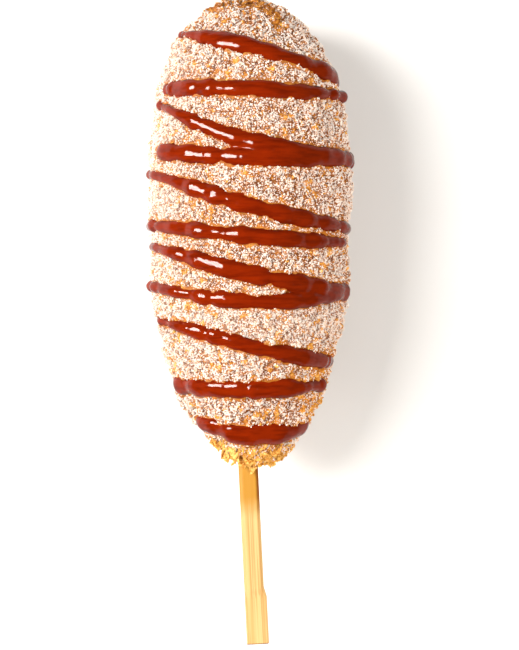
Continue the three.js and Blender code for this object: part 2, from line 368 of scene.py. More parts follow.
# %% The net wrapped round the outline
def net_to_outline(net):
    """For each place on the cube: its share of the way from pole to pole, and its angle."""
    x, y, z = net.T
    cap_share = 0.5 / (LENGTHS + 1)
    reach = np.maximum(np.abs(x), np.abs(z))
    from_pole = cap_share * reach + (1 - 2 * cap_share) * (1 - np.abs(y)) / 2
    share = np.where(y > 0, 1 - from_pole, from_pole)
    sideways = np.abs(x) > np.abs(z)
    eighth = math.pi / 4
    on_sides = np.sign(x) * math.pi / 2 - eighth * z / np.where(sideways, x, 1)
    on_faces = np.where(z > 0, 0, math.pi) + eighth * x / np.where(z == 0, 1, z)
    return share, np.where(sideways, on_sides, on_faces)


share, angle = net_to_outline(places_of(crust_mesh))
radius, along, slope_out, slope_along = outline_at(share)
bare_places = on_body(radius, along, angle)
out = outwards(slope_out, slope_along, angle)
gap = ketchup_gap(along, angle)
print("share under the ketchup:", round((gap < 0).mean(), 3))

# %% Lumps, crags and crumbs
LUMP_SIZE, LUMP_HEIGHT = 15 * MM, 1.1 * MM
CRAG_SIZE, CRAG_HEIGHT = 5 * MM, 0.95 * MM
CRUMB_SIZE, CRUMB_HEIGHT = 2.4 * MM, 0.9 * MM
# The share of a crumb's height that lies below the outline.
CRUMB_LEVEL = 0.6
# By how much the lumps fade towards the tip and the crumbs coarsen towards the stick, and where.
LUMPS_FADE, LUMPS_FADE_FROM, LUMPS_FADE_TO = 0.8, 42 * MM, 52 * MM
COARSER, COARSER_FROM, COARSER_TO = 0.35, -8 * MM, -38 * MM
# Over how much of the ketchup's edge the crumbs sink.
KETCHUP_EASE = 0.4 * MM

under_ketchup = 1 - smooth_step(-KETCHUP_EASE, 0, gap)
lumps_left = 1 - LUMPS_FADE * smooth_step(LUMPS_FADE_FROM, LUMPS_FADE_TO, along)
lumps = LUMP_HEIGHT * noise_at(bare_places, LUMP_SIZE) * lumps_left
crags = CRAG_HEIGHT * noise_at(bare_places, CRAG_SIZE, seed=1)
crumb_middles = crumbs_at(bare_places, CRUMB_SIZE, seed=2)
crumbs = CRUMB_HEIGHT * (crumb_middles - CRUMB_LEVEL)
crumbs *= 1 + COARSER * smooth_step(COARSER_FROM, COARSER_TO, along)
print("crumbs stand out by up to", round(crumbs.max() / MM, 2), "mm")

# %% The dented shoulder, and the crust's places
DENT_DEPTH = 1.3 * MM
# The dent deepens over the first two stations and runs out over the last two.
DENT_STARTS, DENT_ENDS = (49 * MM, 53 * MM), (58.6 * MM, 55.5 * MM)
# How far to the left it starts and is full, as shares of the radius.
DENT_SIDE = (0.3, 0.9)
FLOOR_CLEARANCE = 0.05 * MM

dent = smooth_step(*DENT_STARTS, along) * smooth_step(*DENT_ENDS, along)
dent *= smooth_step(*DENT_SIDE, -np.sin(angle))
relief = lumps + (crags + crumbs) * (1 - under_ketchup) - DENT_DEPTH * dent
places = bare_places + out * relief[:, None]
places[:, 2] = np.maximum(places[:, 2], FLOOR_CLEARANCE)
crust_mesh.vertices.foreach_set("co", places.ravel())
crust_mesh.update()
print("crust relief in mm:", round(relief.min() / MM, 2), "to", round(relief.max() / MM, 2))

# %% [markdown]
# ## Finishes written as arithmetic
#
# Shader nodes are easier to read as sums. The class below wraps a socket, so that `1 - mask * 0.5` adds
# its own Math nodes, and one method adds any other node from its type, its settings and its sockets.

# %% A socket that can be used in arithmetic
class Value:
    def __init__(self, finish, socket):
        self.finish, self.socket = finish, socket

    def __add__(self, other):
        return self.finish.maths("ADD", self, other)

    def __sub__(self, other):
        return self.finish.maths("SUBTRACT", self, other)

    def __rsub__(self, other):
        return self.finish.maths("SUBTRACT", other, self)

    def __mul__(self, other):
        return self.finish.maths("MULTIPLY", self, other)

    __radd__ = __add__
    __rmul__ = __mul__


# %% A finish: a material and the nodes in it
class Finish:
    def __init__(self, name, **constants):
        self.material = bpy.data.materials.new(name)
        self.material.use_nodes = True
        self.tree = self.material.node_tree
        self.shader = self.tree.nodes["Principled BSDF"].inputs
        for socket, value in constants.items():
            self.shader[socket.replace("_", " ")].default_value = value

    def node(self, kind, settings=None, sockets=None, output=0):
        """Adds a node: its settings come first, then each socket gets a number, a colour or a link."""
        node = self.tree.nodes.new(kind)
        for name, value in (settings or {}).items():
            if name == "stops":
                self.set_stops(node.color_ramp, value)
            else:
                setattr(node, name, value)
        for name, value in (sockets or {}).items():
            self.feed(node.inputs[name], value)
        return Value(self, node.outputs[output])

    def set_stops(self, ramp, stops):
        while len(ramp.elements) < len(stops):
            ramp.elements.new(1)
        for element, (position, colour) in zip(ramp.elements, stops):
            element.position = position
            element.color = (*colour, 1)

    def feed(self, socket, value):
        if isinstance(value, Value):
            self.tree.links.new(value.socket, socket)
        else:
            socket.default_value = value

    def maths(self, operation, a, b):
        return self.node("ShaderNodeMath", {"operation": operation}, {0: a, 1: b})

    def coordinates(self):
        return self.node("ShaderNodeTexCoord", output="Object")

    def one_of(self, vector, axis):
        return self.node("ShaderNodeSeparateXYZ", None, {0: vector}, output=axis)

    def stretched(self, scale):
        return self.node("ShaderNodeMapping", None, {"Vector": self.coordinates(), "Scale": scale})

    def noise(self, size, detail=2.0, roughness=0.5, where=None):
        sockets = {"Vector": where or self.coordinates(), "Scale": 1 / size}
        sockets |= {"Detail": detail, "Roughness": roughness}
        return self.node("ShaderNodeTexNoise", None, sockets)

    def painted(self, name):
        return self.node("ShaderNodeAttribute", {"attribute_name": name}, output="Fac")

    def between(self, value, low, high):
        """0 on low's side, 1 on high's side and smooth between them."""
        settings = {"interpolation_type": "SMOOTHSTEP"}
        sockets = {"Value": value, "From Min": low, "From Max": high}
        return self.node("ShaderNodeMapRange", settings, sockets)

    def ramp(self, value, stops):
        return self.node("ShaderNodeValToRGB", {"stops": stops}, {"Fac": value})

    def mix(self, a, b, factor):
        """Colour a where the factor is 0 and colour b where it is 1."""
        colours = {6: (*a, 1) if isinstance(a, tuple) else a, 7: (*b, 1) if isinstance(b, tuple) else b}
        return self.node("ShaderNodeMix", {"data_type": "RGBA"}, {0: factor} | colours, output=2)

    def bump(self, height, depth, strength=1.0):
        sockets = {"Height": height, "Distance": depth, "Strength": strength}
        return self.node("ShaderNodeBump", None, sockets, output="Normal")

    def surface(self, **sockets):
        for name, value in sockets.items():
            self.feed(self.shader[name.replace("_", " ")], value)
        print("finish:", self.material.name)
        return self.material


# %% [markdown]
# ## The crust's finish
#
# Under the sugar the crust is golden where a crumb stands proud and dark brown in the cracks; cracks and
# thin patches are darkened a little more as painted shade. A film of melted sugar pales it, least at both
# ends, in cracks and on golden crumbs, and most on the left flank, where this paleness is painted light
# from the key. The ketchup soaks a rusty line into it. Masks for those places are painted on the vertices,
# since they follow the form, and the sugar is set by them too. The speckle is noise in the object's
# coordinates.

# %% Where little sugar lies, and the painted shade on the right
# The sugar's edge wanders by this much, in waves of this size.
EDGE_WANDER, EDGE_WANDER_SIZE = 3 * MM, 5 * MM
# How bare the stick end is and where that fades, and how much nearer to the stick the sugar comes on the
# right, from one place across to another.
STICK_END_BARE, STICK_END_BARE_FROM, STICK_END_BARE_TO = 0.8, -62 * MM, -66 * MM
NEARER_RIGHT, NEARER_RIGHT_FROM, NEARER_RIGHT_TO = 1.4 * MM, -7 * MM, -1 * MM
# How bare the pole of the tip is.
TIP_BARE, TIP_BARE_FROM, TIP_BARE_TO = 0.5, 46 * MM, 57 * MM
# Corners in mm, seen from above, of a streak on top of the tip and of a lump beside it.
TIP_STREAK = ((-1.9, 55.5), (3.3, 54.5), (6.8, 51.0), (7.8, 48.3))
TIP_LUMP = ((-9.2, 54.6), (-7.0, 55.6))
TIP_STREAK_WIDTH = 2.5 * MM
STREAK_WANDER, STREAK_WANDER_SIZE = 0.9 * MM, 1.8 * MM
# How bare the right side is towards the stick: less sugar there is painted shade.
SHADED_RIGHT_BARE, SHADED_RIGHT_ACROSS, SHADED_RIGHT_ALONG = 0.5, (8 * MM, 20 * MM), (-30 * MM, -44 * MM)


def from_line(places, corners):
    """How far each place lies from a line with corners, seen from above."""
    nearest = np.full(len(places), np.inf)
    for start, end in zip(corners, corners[1:]):
        start, side = np.array(start) * MM, (np.array(end) - np.array(start)) * MM
        share = np.clip((places[:, :2] - start) @ side / max(side @ side, 1e-12), 0, 1)[:, None]
        nearest = np.minimum(nearest, np.linalg.norm(places[:, :2] - start - share * side, axis=1))
    return nearest


def bare_at(places):
    """0 where the sugar is whole and 1 where there is none; on the right towards the stick it is painted
    shade.
    """
    across, along, height = places.T
    wander = EDGE_WANDER * noise_at(places, EDGE_WANDER_SIZE, seed=5)
    nearer = NEARER_RIGHT * smooth_step(NEARER_RIGHT_FROM, NEARER_RIGHT_TO, across)
    whole = smooth_step(STICK_END_BARE_TO, STICK_END_BARE_FROM, along + wander + nearer)
    stick_end = STICK_END_BARE * (1 - whole)
    from_streak = np.minimum(from_line(places, TIP_STREAK), from_line(places, TIP_LUMP))
    from_streak += STREAK_WANDER * noise_at(places, STREAK_WANDER_SIZE, seed=6)
    streak = 1 - smooth_step(0.5 * TIP_STREAK_WIDTH, TIP_STREAK_WIDTH, from_streak)
    streak *= height > AXIS_HEIGHT
    tip_end = TIP_BARE * smooth_step(TIP_BARE_FROM, TIP_BARE_TO, along + wander)
    # Painted shade: the right side towards the stick is left with less sugar.
    right = smooth_step(*SHADED_RIGHT_ACROSS, across) * smooth_step(*SHADED_RIGHT_ALONG, along)
    return np.maximum(np.maximum(stick_end, SHADED_RIGHT_BARE * right), np.maximum(streak, tip_end))


# %% How thick the sugar lies elsewhere
bare_across, bare_along, _ = bare_places.T


def step_across(low, high):
    return smooth_step(low * MM, high * MM, bare_across)


def step_along(low, high):
    return smooth_step(low * MM, high * MM, bare_along)


# Dust lies in a belt round the dog; the lit left flank is painted pale in the same mask, as painted light.
LIT_FLANK_PALENESS, DUST_IN_BELT = 0.6, 0.5
BELT_AT, BELT_WIDTH = -32 * MM, 11 * MM
# Grains lie thicker in the tip's half and thinner at the pole. Thin patches are fewer on the lit left, as
# painted light, and more right of the stick, as painted shade. Where the sum with a noise is low, there is
# a thin patch.
THICK, THICK_ON_LIT_LEFT, THICK_TIP_HALF, THIN_POLE, THIN_SHADED_RIGHT = 0.15, 0.3, 0.05, 0.4, 0.3
THIN_PATCH_SIZE, THIN_BELOW, THICK_ABOVE = 1.2 * MM, -0.3, 0.1

bare = bare_at(places)
belt = DUST_IN_BELT * np.exp(-(((bare_along - BELT_AT) / BELT_WIDTH) ** 2))
dusty = np.maximum(LIT_FLANK_PALENESS * step_across(-11, -26), belt)
dusty *= 1 - bare
thick = THICK + THICK_ON_LIT_LEFT * step_across(4, -16) * step_along(-55, -30)
thick += THICK_TIP_HALF * step_along(-20, 20) - THIN_POLE * step_along(40, 52)
thick -= THIN_SHADED_RIGHT * step_across(2, 16) * step_along(-30, -44)
patches = noise_at(bare_places, THIN_PATCH_SIZE, seed=8)
thin = 1 - smooth_step(THIN_BELOW, THICK_ABOVE, patches + thick)
print("thin patches take", round(thin.mean(), 2), "of the crust")

# %% Painted masks
STAIN_REACH, STAIN_WANDER, STAIN_WANDER_SIZE = 1.1 * MM, 0.5 * MM, 1.5 * MM
# Golden crumbs are the peaks of a noise, with a few more in the stick's half.
GOLD_SIZE, GOLD_FROM, GOLD_FULL = 2.2 * MM, 0.28, 0.48
MORE_GOLD, MORE_GOLD_BELOW = 0.08, -10 * MM
# A thin patch counts as this much of a crack, in sugar shed and in painted shade.
THIN_AS_CRACK = 0.9


def paint(mesh, name, values):
    """Keeps a number for each vertex, under a name that a finish can read."""
    layer = mesh.attributes.new(name, "FLOAT", "POINT")
    layer.data.foreach_set("value", values.astype(np.float32))
    print(f"{name}: {values.mean():.2f} on average")


stain_edge = gap + STAIN_WANDER * noise_at(places, STAIN_WANDER_SIZE, seed=4)
stain = 1 - smooth_step(0, STAIN_REACH, stain_edge)
gold_noise = noise_at(bare_places, GOLD_SIZE, seed=7)
gold = smooth_step(GOLD_FROM, GOLD_FULL, gold_noise + MORE_GOLD * (along < MORE_GOLD_BELOW))
crack = np.maximum(1 - crumb_middles, THIN_AS_CRACK * thin)
for name, mask in {"stain": stain, "gold": gold, "bare": bare, "dusty": dusty, "crack": crack}.items():
    paint(crust_mesh, name, mask)

# %% Colours of the crust
CRUST_DARK = (0.12, 0.032, 0.008)
CRUST_BROWN = (0.32, 0.095, 0.015)
CRUST_GOLD = (0.74, 0.3, 0.035)
CRUST_PALE = (0.93, 0.55, 0.14)
SUGAR_FILM_AND_LIGHT = (0.9, 0.74, 0.6)
KETCHUP_STAIN = (0.45, 0.14, 0.014)
CRUST_TONES = [(0.34, CRUST_DARK), (0.5, CRUST_BROWN), (0.68, CRUST_GOLD), (0.84, CRUST_PALE)]
SPECKLE_SIZE, GRIT_SIZE, GRIT_DEPTH = 0.9 * MM, 0.35 * MM, 0.25 * MM
FILM_SPOT_SIZE = 0.42 * MM
# Pieces that should look dry mirror next to nothing.
DRY = 0.08

fried = Finish("fried_crust", Roughness=0.75, Specular_IOR_Level=DRY)
mask_names = ("stain", "gold", "bare", "dusty", "crack")
on_stain, on_gold, on_bare, on_dust_and_lit_flank, in_crack = [fried.painted(name) for name in mask_names]
tone = fried.noise(SPECKLE_SIZE, detail=3, roughness=0.65)
# Cracks and thin patches are darkened: painted shade.
tone = tone + on_gold * 0.16 + on_bare * 0.14 - in_crack * 0.06
golden = fried.ramp(tone, CRUST_TONES)
film_spots = fried.between(fried.noise(FILM_SPOT_SIZE, detail=2), 0.47, 0.6)
# Over the dust belt and the lit left flank the film is strong; on the flank this paleness is painted
# light.
film = fried.maths("MAXIMUM", film_spots, on_dust_and_lit_flank * 0.8)
film = film * (1 - on_bare * 0.75) * (1 - in_crack * (0.95 - on_dust_and_lit_flank * 0.5)) * (1 - on_gold * 0.7)
sugared = fried.mix(golden, SUGAR_FILM_AND_LIGHT, film * (on_dust_and_lit_flank * 0.35 + 0.5))
stained = fried.mix(sugared, KETCHUP_STAIN, on_stain * 0.85)
grit = fried.noise(GRIT_SIZE, detail=3)
crust_finish = fried.surface(Base_Color=stained, Normal=fried.bump(grit, GRIT_DEPTH))
add_piece(crust_mesh, crust_finish, "crust", "coated_dog")

# %% [markdown]
# ## Grains and crumbs, thousands at a time
#
# Sugar is cubes of half a millimetre and their chips. There are tens of thousands, so each grain has only
# a few faces and all grains of a kind share one mesh. One grain is made with an operator and read as an
# array, and copies of it are turned, sized and set down on chosen cells of the crust.

# %% Shapes to scatter and turns
def shape_of(create, **options):
    """Vertices and faces of a small shape made by a bmesh operator."""
    work = bmesh.new()
    create(work, **options)
    vertices = np.array([v.co for v in work.verts])
    faces = [[v.index for v in f.verts] for f in work.faces]
    work.free()
    return vertices, faces


def random_turns(count, rng, spread=None):
    """Turns as matrices, spread evenly over all directions or, given a spread, only a little."""
    q = rng.normal(size=(count, 4))
    if spread:
        q = q * spread + np.array([1, 0, 0, 0])
    w, x, y, z = (q / np.linalg.norm(q, axis=1, keepdims=True)).T
    rows = [
        [1 - 2 * (y * y + z * z), 2 * (x * y - z * w), 2 * (x * z + y * w)],
        [2 * (x * y + z * w), 1 - 2 * (x * x + z * z), 2 * (y * z - x * w)],
        [2 * (x * z - y * w), 2 * (y * z + x * w), 1 - 2 * (x * x + y * y)],
    ]
    return np.moveaxis(np.array(rows), -1, 0)


# %% Many copies in one mesh
def scatter(name, shapes, places, turns, sizes, rng):
    """One mesh of many copies: each place gets one of the shapes, turned and sized."""
    choice = rng.integers(len(shapes), size=len(places))
    all_vertices, all_faces, all_counts, start = [], [], [], 0
    for index, (vertices, faces) in enumerate(shapes):
        chosen = choice == index
        copies = np.einsum("nij,nvj->nvi", turns[chosen], vertices[None] * sizes[chosen][:, None, :])
        copies += places[chosen][:, None, :]
        counts = np.array([len(f) for f in faces])
        corners = np.concatenate(faces)
        starts = start + np.arange(chosen.sum()) * len(vertices)
        all_vertices.append(copies.reshape(-1, 3))
        all_faces.append((corners[None] + starts[:, None]).ravel())
        all_counts.append(np.tile(counts, chosen.sum()))
        start += copies.shape[0] * copies.shape[1]
    vertices = np.concatenate(all_vertices)
    corners = np.concatenate(all_faces).astype(np.int32)
    counts = np.concatenate(all_counts)
    loop_starts = np.concatenate([[0], np.cumsum(counts)[:-1]]).astype(np.int32)
    mesh = bpy.data.meshes.new(name)
    mesh.vertices.add(len(vertices))
    mesh.vertices.foreach_set("co", vertices.ravel())
    mesh.loops.add(len(corners))
    mesh.loops.foreach_set("vertex_index", corners)
    mesh.polygons.add(len(counts))
    mesh.polygons.foreach_set("loop_start", loop_starts)
    mesh.update(calc_edges=True)
    return mesh


# %% Cells of the crust to set them on
def cells_of(mesh):
    """Middle, outward direction and four corners of each cell."""
    count = len(mesh.polygons)
    centres, normals = np.empty(3 * count), np.empty(3 * count)
    mesh.polygons.foreach_get("center", centres)
    mesh.polygons.foreach_get("normal", normals)
    corners = np.empty(4 * count, np.int32)
    mesh.loops.foreach_get("vertex_index", corners)
    return centres.reshape(-1, 3), normals.reshape(-1, 3), corners.reshape(-1, 4)


cell_centres, cell_normals, cell_corners = cells_of(crust_mesh)
cell_areas = np.array([p.area for p in crust_mesh.polygons])
print("cells:", len(cell_centres), "mean area in mm2:", round(cell_areas.mean() / MM**2, 3))

# %% How likely a cell is to hold sugar
# Where grains start at the ketchup's edge, and where they lie as thick as ever.
RIM_FROM, RIM_CLEAR = -0.15 * MM, 0.7 * MM
# No grain lies lower, so that none sinks into the floor.
LOWEST_GRAIN = 0.8 * MM
GOLD_SHEDS, BARE_SHEDS, CRACK_SHEDS, DUST_AND_LIT_FLANK_ADDS = 0.75, 0.7, 0.8, 0.7


def on_cells(values):
    return values[cell_corners].mean(axis=1)


cell_gold, cell_bare = on_cells(gold), on_cells(bare)
off_ketchup = smooth_step(RIM_FROM, RIM_CLEAR, on_cells(gap)) * (cell_centres[:, 2] > LOWEST_GRAIN)
sugared_share = off_ketchup * (1 - GOLD_SHEDS * cell_gold) * (1 - BARE_SHEDS * cell_bare)
sugared_share = sugared_share * (1 - CRACK_SHEDS * on_cells(crack))
# More grains lie on the dust belt and on the lit left flank, where they add to the painted light.
sugared_share *= 1 + DUST_AND_LIT_FLANK_ADDS * on_cells(dusty)
print("share of cells with no sugar:", round((sugared_share == 0).mean(), 3))

# %% Setting many of a kind down
# A cell takes a second grain only when more than this share of cells is wanted.
FULL_SHARE = 0.9


def set_down(chance, count, height, rng):
    """Places on cells chosen by their chance, so high above them."""
    weights = chance * cell_areas
    crowded = count > (weights > 0).sum() * FULL_SHARE
    chosen = rng.choice(len(weights), size=count, replace=crowded, p=weights / weights.sum())
    spread = np.sqrt(cell_areas[chosen])[:, None]
    drift = (rng.random((count, 3)) - 0.5) * spread
    drift -= cell_normals[chosen] * np.sum(drift * cell_normals[chosen], axis=1, keepdims=True)
    return cell_centres[chosen] + drift + cell_normals[chosen] * height


def strewn(name, shapes, chance, count, size, height, least, rng, hang=0, spread=None):
    """A mesh of many small things on the crust. The least size is a share of the usual one."""
    middles = set_down(chance, count, height * MM, rng)
    middles[:, 1] -= hang * MM
    sizes = np.array(size) * MM * (least + 2 * (1 - least) * rng.random((count, 3)))
    return scatter(name, shapes, middles, random_turns(count, rng, spread), sizes, rng)


# %% [markdown]
# ## Sugar
#
# Four kinds of grain cover the crust: whole cubes, slivers, chips and fine dust. White sugar is clear
# crystal, but a grain this small looks milky, so it gets a pale surface that hardly mirrors, and its
# facets catch the light. Here and there a grain has taken up oil and is warmer.

# %% Sugar's finish
SUGAR_WHITE = (0.87, 0.8, 0.74)
SUGAR_WARM = (0.85, 0.58, 0.38)

crystal = Finish("sugar_crystal", Roughness=0.4, Specular_IOR_Level=DRY)
warmth = crystal.between(crystal.noise(0.6 * MM, detail=2, roughness=0.6), 0.46, 0.7)
sugar_finish = crystal.surface(Base_Color=crystal.mix(SUGAR_WHITE, SUGAR_WARM, warmth))

# %% Four kinds of grain
rng = np.random.default_rng(7)
CUBE = shape_of(bmesh.ops.create_cube, size=1)
CHIP = shape_of(bmesh.ops.create_icosphere, subdivisions=1, radius=0.5)
CONE = {"radius1": 0.5, "radius2": 0, "depth": 1, "cap_ends": True}
SHARD = shape_of(bmesh.ops.create_cone, segments=4, **CONE)
PYRAMID = shape_of(bmesh.ops.create_cone, segments=3, **CONE)
# Name, shape, how many, size along its three sides and height of its middle in mm.
GRAINS = [
    ("sugar_cubes", CUBE, 14500, (0.36, 0.36, 0.33), 0.12),
    ("sugar_slivers", CUBE, 15000, (0.5, 0.23, 0.2), 0.14),
    ("sugar_shards", SHARD, 31000, (0.4, 0.33, 0.36), 0.12),
    ("sugar_dust", PYRAMID, 48000, (0.27, 0.27, 0.24), 0.1),
]
LEAST_GRAIN = 0.75
for name, shape, count, size, height in GRAINS:
    grains = strewn(name, [shape], sugared_share, count, size, height, LEAST_GRAIN, rng)
    add_piece(grains, sugar_finish, "sugar", "coated_dog", smooth=False)

# %% [markdown]
# ## Crumbs
#
# Bread crumbs are torn, flat and jagged. A small ball pushed in and out by noise and then flattened makes
# one, and a few such shapes are enough once they are turned and sized. Flakes stand out at the stick end
# and at the tip, a fringe of shreds hangs over the stick, and bits break through the sugar elsewhere.

# %% Torn shapes
TEAR_DEPTH, TEAR_SIZE = 0.9, 0.34


def torn(shape, seed):
    vertices, faces = shape
    return vertices * (1 + TEAR_DEPTH * noise_at(vertices, TEAR_SIZE, seed=seed))[:, None], faces


BALL = shape_of(bmesh.ops.create_icosphere, subdivisions=2, radius=0.5)
FLAKES = [torn(BALL, seed) for seed in range(10)]
BITS = [torn(CHIP, seed) for seed in range(8)]
print("faces of a flake and of a bit:", len(FLAKES[0][1]), len(BITS[0][1]))

# %% Crumbs' finish
CRUMB_AMBER = (0.3, 0.085, 0.01)
CRUMB_GOLD = (0.67, 0.285, 0.036)
CRUMB_PALE = (0.91, 0.57, 0.16)
# The crumbs are browner at the tip and paler at the stick end, each between two stations.
BROWNER_TIP, BROWNER_FROM, BROWNER_TO = 0.13, 30 * MM, 50 * MM
PALER_END, PALER_FROM, PALER_TO = 0.06, -58 * MM, -66 * MM

bread = Finish("golden_crumbs", Roughness=0.6, Specular_IOR_Level=DRY)
bread_along = bread.one_of(bread.coordinates(), "Y")
browned = bread.between(bread_along, BROWNER_FROM, BROWNER_TO) * BROWNER_TIP
paled = bread.between(bread_along, PALER_FROM, PALER_TO) * PALER_END
bread_tone = bread.noise(0.8 * MM, detail=3, roughness=0.6) - browned + paled
bread_colour = bread.ramp(bread_tone, [(0.32, CRUMB_AMBER), (0.48, CRUMB_GOLD), (0.64, CRUMB_PALE)])
bread_grit = bread.noise(0.3 * MM, detail=2)
bread_finish = bread.surface(Base_Color=bread_colour, Normal=bread.bump(bread_grit, 0.2 * MM))

# %% Where flakes, shreds and bits sit
FLAKY_STICK_END, FLAKY_FROM, FLAKY_TO = 0.6, -68 * MM, -63 * MM
FLAKY_TIP, FLAKY_TIP_ABOVE = 0.7, 0.4
# Where across the dog shreds hang over the stick, in mm, and how wide each tuft is.
TUFTS = (-9.6, -7.6, -6.4, -4.2, -1.4, 0.6, 7.4)
TUFT_WIDTH = 0.8 * MM
# Between which heights over the axis, and past which station, they hang.
TUFT_LOW, TUFT_HIGH, TUFTS_FROM = 2 * MM, 8 * MM, -62 * MM

cell_across, cell_along, cell_height = cell_centres.T
stick_end_cells = 1 - smooth_step(FLAKY_FROM, FLAKY_TO, cell_along)
tip_cells = FLAKY_TIP * (cell_along > 0) * np.maximum(0, cell_bare - FLAKY_TIP_ABOVE)
flaky = off_ketchup * np.maximum(FLAKY_STICK_END * stick_end_cells, tip_cells)
tufts = sum(np.exp(-(((cell_across - tuft * MM) / TUFT_WIDTH) ** 2)) for tuft in TUFTS)
above_stick = (cell_height > AXIS_HEIGHT + TUFT_LOW) * (cell_height < AXIS_HEIGHT + TUFT_HIGH)
hanging = tufts * above_stick * (cell_along < TUFTS_FROM)
bitty = off_ketchup * (0.03 + cell_gold**2 + 2 * cell_bare**2)
print("cells for shreds:", np.count_nonzero(hanging > 0.1))

# %% Flakes, shreds and bits
# Name, shapes, chance of each cell, how many, size in mm, how far the middle sits out of the crust and
# towards the stick in mm, and how much they turn.
CRUMBS = [
    ("crumb_flakes", FLAKES, flaky, 360, (1.7, 1.2, 0.4), 0.12, 0, None),
    ("crumb_shreds", FLAKES, hanging, 46, (1.2, 2.6, 0.45), 0, 1.5, 0.35),
    ("crumb_bits", BITS, bitty, 3600, (0.9, 0.65, 0.45), 0.06, 0, None),
]
LEAST_CRUMB = 0.5
for name, shapes, chance, count, size, height, hang, spread in CRUMBS:
    crumb_mesh = strewn(name, shapes, chance, count, size, height, LEAST_CRUMB, rng, hang, spread)
    add_piece(crumb_mesh, bread_finish, "crust", "coated_dog", smooth=False)

# %% [markdown]
# ## Ketchup
#
# Each pass is a bead of ketchup that swells, thins, rises and falls on its way. Rings are set along the
# pass and bridged into a tube with round ends. Where passes meet they have flowed into one another, so
# all tubes are remeshed into one skin and smoothed. The skin is smooth and wet, so it mirrors the light
# in dashes, one on each wave. Its red is deep, and painted browner on the right as painted shade.

# %% Ketchup's form
KETCHUP_HEIGHT = 1.1 * MM
KETCHUP_SINK = 0.6 * MM
WAVE_SIZE, WAVE_HEIGHT = 4.5 * MM, 0.8 * MM
# The share of its height that a thin bead keeps, and how many half widths high a bead may be.
HEIGHT_KEPT, HIGHEST = 0.4, 1.1
RING_SIDES = 18


def bead_of(trace):
    """One pass of ketchup: rings bridged into a tube, the first and last ones small and capped."""
    centres, out, _, swell, rounded, half_widths = trace
    fullness = HEIGHT_KEPT + (1 - HEIGHT_KEPT) * swell
    half_heights = (KETCHUP_HEIGHT + KETCHUP_SINK) * rounded * fullness
    half_heights = np.minimum(half_heights, half_widths * HIGHEST)
    lumps = LUMP_HEIGHT * noise_at(centres, LUMP_SIZE)
    waves = WAVE_HEIGHT * noise_at(centres, WAVE_SIZE, seed=15) * rounded
    ahead = np.gradient(centres, axis=0)
    bead, rings = bmesh.new(), []
    for i in range(len(centres)):
        forward, up = Vector(ahead[i]).normalized(), Vector(out[i])
        across = up.cross(forward).normalized()
        up = forward.cross(across)
        middle = Vector(centres[i] + out[i] * (lumps[i] + waves[i] - KETCHUP_SINK))
        place = Matrix.Translation(middle) @ Matrix((across, up, forward)).transposed().to_4x4()
        place = place @ Matrix.Diagonal((half_widths[i], half_heights[i], 1, 1))
        ends = i in (0, len(centres) - 1)
        ring = bmesh.ops.create_circle(bead, cap_ends=ends, segments=RING_SIDES, radius=1, matrix=place)
        rings.append({e for v in ring["verts"] for e in v.link_edges})
    for near, far in zip(rings, rings[1:]):
        bmesh.ops.bridge_loops(bead, edges=list(near | far))
    bmesh.ops.recalc_face_normals(bead, faces=bead.faces[:])
    return mesh_from(bead, "bead")


# %% One skin of ketchup
VOXEL = 0.4 * MM


def with_modifiers(mesh, *modifiers):
    """The mesh that a list of (type, settings) modifiers turns it into."""
    holder = bpy.data.objects.new("holder", mesh)
    bpy.context.collection.objects.link(holder)
    for kind, settings in modifiers:
        modifier = holder.modifiers.new(kind.lower(), kind)
        for setting, value in settings.items():
            setattr(modifier, setting, value)
    evaluated = holder.evaluated_get(bpy.context.evaluated_depsgraph_get())
    finished = bpy.data.meshes.new_from_object(evaluated)
    bpy.data.objects.remove(holder)
    return finished


def joined(meshes, name):
    work = bmesh.new()
    for mesh in meshes:
        work.from_mesh(mesh)
        bpy.data.meshes.remove(mesh)
    return mesh_from(work, name)


ketchup_mesh = with_modifiers(
    joined([bead_of(trace) for trace in TRACES], "loose_beads"),
    ("REMESH", {"mode": "VOXEL", "voxel_size": VOXEL}),
    ("SMOOTH", {"factor": 0.5, "iterations": 5}),
)
ketchup_mesh.name = "ketchup"
print("corners of the ketchup's skin:", len(ketchup_mesh.vertices))

# %% Ripples on it
RIPPLE_SIZE, RIPPLE_HEIGHT = 3 * MM, 0.16 * MM
WOBBLE_SIZE, WOBBLE_HEIGHT = 1.1 * MM, 0.06 * MM
# Smoothing draws the skin in by about this much.
DRAWN_IN = 0.12 * MM

ketchup_places = places_of(ketchup_mesh)
ripples = RIPPLE_HEIGHT * noise_at(ketchup_places, RIPPLE_SIZE, seed=13)
wobbles = WOBBLE_HEIGHT * noise_at(ketchup_places, WOBBLE_SIZE, seed=14)
ketchup_out = np.empty(ketchup_places.size)
ketchup_mesh.vertices.foreach_get("normal", ketchup_out)
ketchup_places += ketchup_out.reshape(-1, 3) * (ripples + wobbles + DRAWN_IN)[:, None]
ketchup_mesh.vertices.foreach_set("co", ketchup_places.ravel())
ketchup_mesh.update()
print("ripples in mm:", round(ripples.min() / MM, 2), "to", round(ripples.max() / MM, 2))

# %% Ketchup's finish
KETCHUP_RED = (0.2, 0.0135, 0.0006)
KETCHUP_DEEP = (0.13, 0.008, 0.0004)
# Painted shade: a browner red for the right side, away from the light.
KETCHUP_SHADED = (0.075, 0.0085, 0.001)
KETCHUP_SHADE_SHARE, KETCHUP_SHADE_FROM, KETCHUP_SHADE_TO = 0.4, 2 * MM, 18 * MM

sauce = Finish("ketchup_sauce", Roughness=0.08, IOR=1.17)
pulp = sauce.noise(1, detail=3, where=sauce.stretched((120, 900, 300)))
thin_colour = sauce.mix(KETCHUP_DEEP, KETCHUP_RED, sauce.between(pulp, 0.3, 0.6))
sauce_across = sauce.one_of(sauce.coordinates(), "X")
